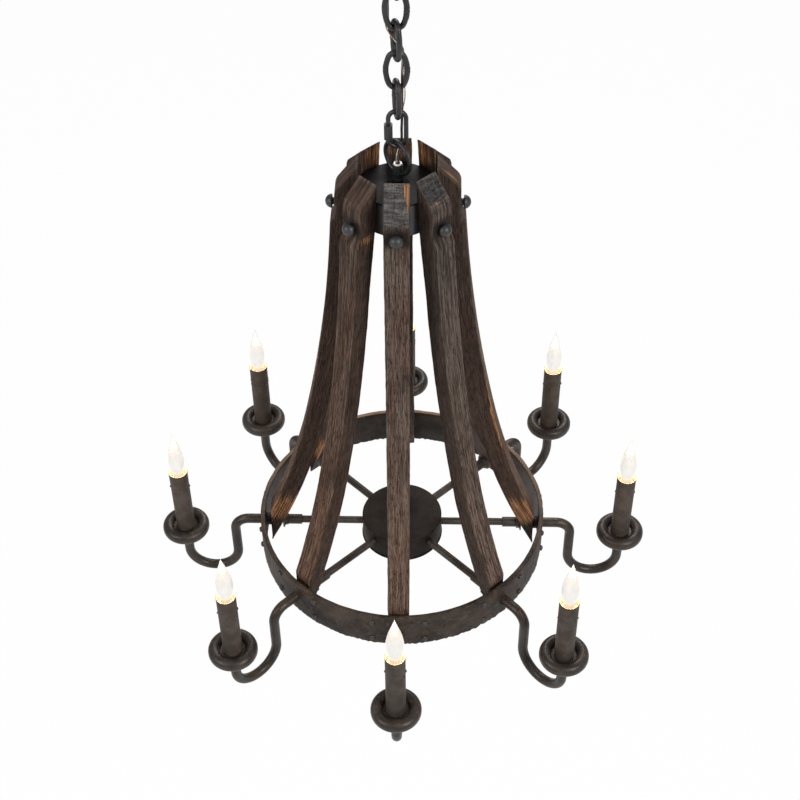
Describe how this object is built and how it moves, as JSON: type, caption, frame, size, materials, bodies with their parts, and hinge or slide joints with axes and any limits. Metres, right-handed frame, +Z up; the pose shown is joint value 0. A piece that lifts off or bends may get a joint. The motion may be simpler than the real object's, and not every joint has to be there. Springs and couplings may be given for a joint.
{
  "type": "barrel stave chandelier",
  "caption": "Hanging chandelier of curved barrel staves between a small drum and an iron hoop, with spoked hub, gooseneck arms, candle sleeves and flame bulbs, on a chain with canopy.",
  "frame": {"origin": "middle of the ceiling bracket, in the plane of the ceiling", "axes": "+Z up out of the ceiling, the lamp hangs towards -Z; one arm points along -Y"},
  "size_m": [0.635, 0.635, 0.9638],
  "materials": {
    "dark_iron": "satin dark bronze-black paint",
    "black_iron": "satin black paint",
    "zinc_steel": "plain zinc plate",
    "stained_oak": "weathered dark brown stain, open grain",
    "sleeve_paint": "satin dark paint with wax drips",
    "bulb_glass": "clear glass, lit warm",
    "porcelain": "glazed white",
    "cord_jacket": "dark brown jacket"
  },
  "bodies": {
    "ceiling_fitting": {"ceiling_bracket": "zinc_steel", "canopy_nipple": "zinc_steel", "nipple_locknut": "zinc_steel", "canopy": "dark_iron", "canopy_loop": "dark_iron", "canopy_ring": "dark_iron", "supply_cord": "cord_jacket", "ground_wire": "zinc_steel"},
    "link_1": {"chain_link_1": "dark_iron"},
    "link_2": {"chain_link_2": "dark_iron"},
    "link_3": {"chain_link_3": "dark_iron"},
    "link_4": {"chain_link_4": "dark_iron"},
    "link_5": {"chain_link_5": "dark_iron"},
    "quick_link": {"quick_link": "black_iron"},
    "quick_link_nut": {"quick_link_nut": "black_iron"},
    "fixture": {"hang_loop": "dark_iron", "loop_bushing": "porcelain", "loop_collar": "dark_iron", "top_drum": "black_iron", "drum_lid": "black_iron", "centre_stem": "dark_iron", "locknuts": "dark_iron", "inner_wires": "cord_jacket", "stave_bolts": "zinc_steel", "cap_nuts": "dark_iron", "hoop": "dark_iron", "hoop_rivets": "dark_iron", "spacers": "black_iron", "hub_body": "dark_iron", "hub_plate": "dark_iron", "spokes": "dark_iron", "couplings": "dark_iron", "washers": "zinc_steel", "drip_pans": "dark_iron", "candle_sleeves": "sleeve_paint", "lamp_sockets": "porcelain", "stave_1": "stained_oak", "stave_2": "stained_oak", "stave_3": "stained_oak", "stave_4": "stained_oak", "stave_5": "stained_oak", "stave_6": "stained_oak", "stave_7": "stained_oak", "stave_8": "stained_oak", "arm_1": "dark_iron", "arm_2": "dark_iron", "arm_3": "dark_iron", "arm_4": "dark_iron", "arm_5": "dark_iron", "arm_6": "dark_iron", "arm_7": "dark_iron", "arm_8": "dark_iron"},
    "bulb_1": {"bulb_1": "bulb_glass"},
    "bulb_2": {"bulb_2": "bulb_glass"},
    "bulb_3": {"bulb_3": "bulb_glass"},
    "bulb_4": {"bulb_4": "bulb_glass"},
    "bulb_5": {"bulb_5": "bulb_glass"},
    "bulb_6": {"bulb_6": "bulb_glass"},
    "bulb_7": {"bulb_7": "bulb_glass"},
    "bulb_8": {"bulb_8": "bulb_glass"}
  },
  "joints": [
    {"name": "link_1_swing", "type": "hinge", "parent": "ceiling_fitting", "child": "link_1", "pos_m": [0, 0, -0.0728], "axis": [0.9994, 0.0349, 0], "range_deg": [-15, 15], "deforming": ["supply_cord", "ground_wire"]},
    {"name": "link_2_swing", "type": "hinge", "parent": "link_1", "child": "link_2", "pos_m": [0, 0, -0.1071], "axis": [0.2756, -0.9613, 0], "range_deg": [-15, 15], "deforming": ["supply_cord", "ground_wire"]},
    {"name": "link_3_swing", "type": "hinge", "parent": "link_2", "child": "link_3", "pos_m": [0, 0, -0.1408], "axis": [0.9994, 0.0349, 0], "range_deg": [-15, 15], "deforming": ["supply_cord", "ground_wire"]},
    {"name": "link_4_swing", "type": "hinge", "parent": "link_3", "child": "link_4", "pos_m": [0, 0, -0.1745], "axis": [0.3256, -0.9455, 0], "range_deg": [-15, 15], "deforming": ["supply_cord", "ground_wire"]},
    {"name": "link_5_swing", "type": "hinge", "parent": "link_4", "child": "link_5", "pos_m": [0, 0, -0.2082], "axis": [0.9994, 0.0349, 0], "range_deg": [-15, 15], "deforming": ["supply_cord", "ground_wire"]},
    {"name": "quick_link_swing", "type": "hinge", "parent": "link_5", "child": "quick_link", "pos_m": [0, 0, -0.2419], "axis": [0.225, -0.9744, 0], "range_deg": [-15, 15], "deforming": ["supply_cord", "ground_wire"]},
    {"name": "fixture_swing", "type": "hinge", "parent": "quick_link", "child": "fixture", "pos_m": [0, 0, -0.279], "axis": [0.9994, 0.0349, 0], "range_deg": [-10, 10], "deforming": ["supply_cord", "ground_wire"]},
    {"name": "quick_link_nut_slide", "type": "slide", "parent": "quick_link", "child": "quick_link_nut", "axis": [0, 0, 1], "range_m": [0, 0.006]},
    {"name": "bulb_1_lift", "type": "slide", "parent": "fixture", "child": "bulb_1", "axis": [0, 0, 1], "range_m": [0, 0.022]},
    {"name": "bulb_2_lift", "type": "slide", "parent": "fixture", "child": "bulb_2", "axis": [0, 0, 1], "range_m": [0, 0.022]},
    {"name": "bulb_3_lift", "type": "slide", "parent": "fixture", "child": "bulb_3", "axis": [0, 0, 1], "range_m": [0, 0.022]},
    {"name": "bulb_4_lift", "type": "slide", "parent": "fixture", "child": "bulb_4", "axis": [0, 0, 1], "range_m": [0, 0.022]},
    {"name": "bulb_5_lift", "type": "slide", "parent": "fixture", "child": "bulb_5", "axis": [0, 0, 1], "range_m": [0, 0.022]},
    {"name": "bulb_6_lift", "type": "slide", "parent": "fixture", "child": "bulb_6", "axis": [0, 0, 1], "range_m": [0, 0.022]},
    {"name": "bulb_7_lift", "type": "slide", "parent": "fixture", "child": "bulb_7", "axis": [0, 0, 1], "range_m": [0, 0.022]},
    {"name": "bulb_8_lift", "type": "slide", "parent": "fixture", "child": "bulb_8", "axis": [0, 0, 1], "range_m": [0, 0.022]}
  ]
}
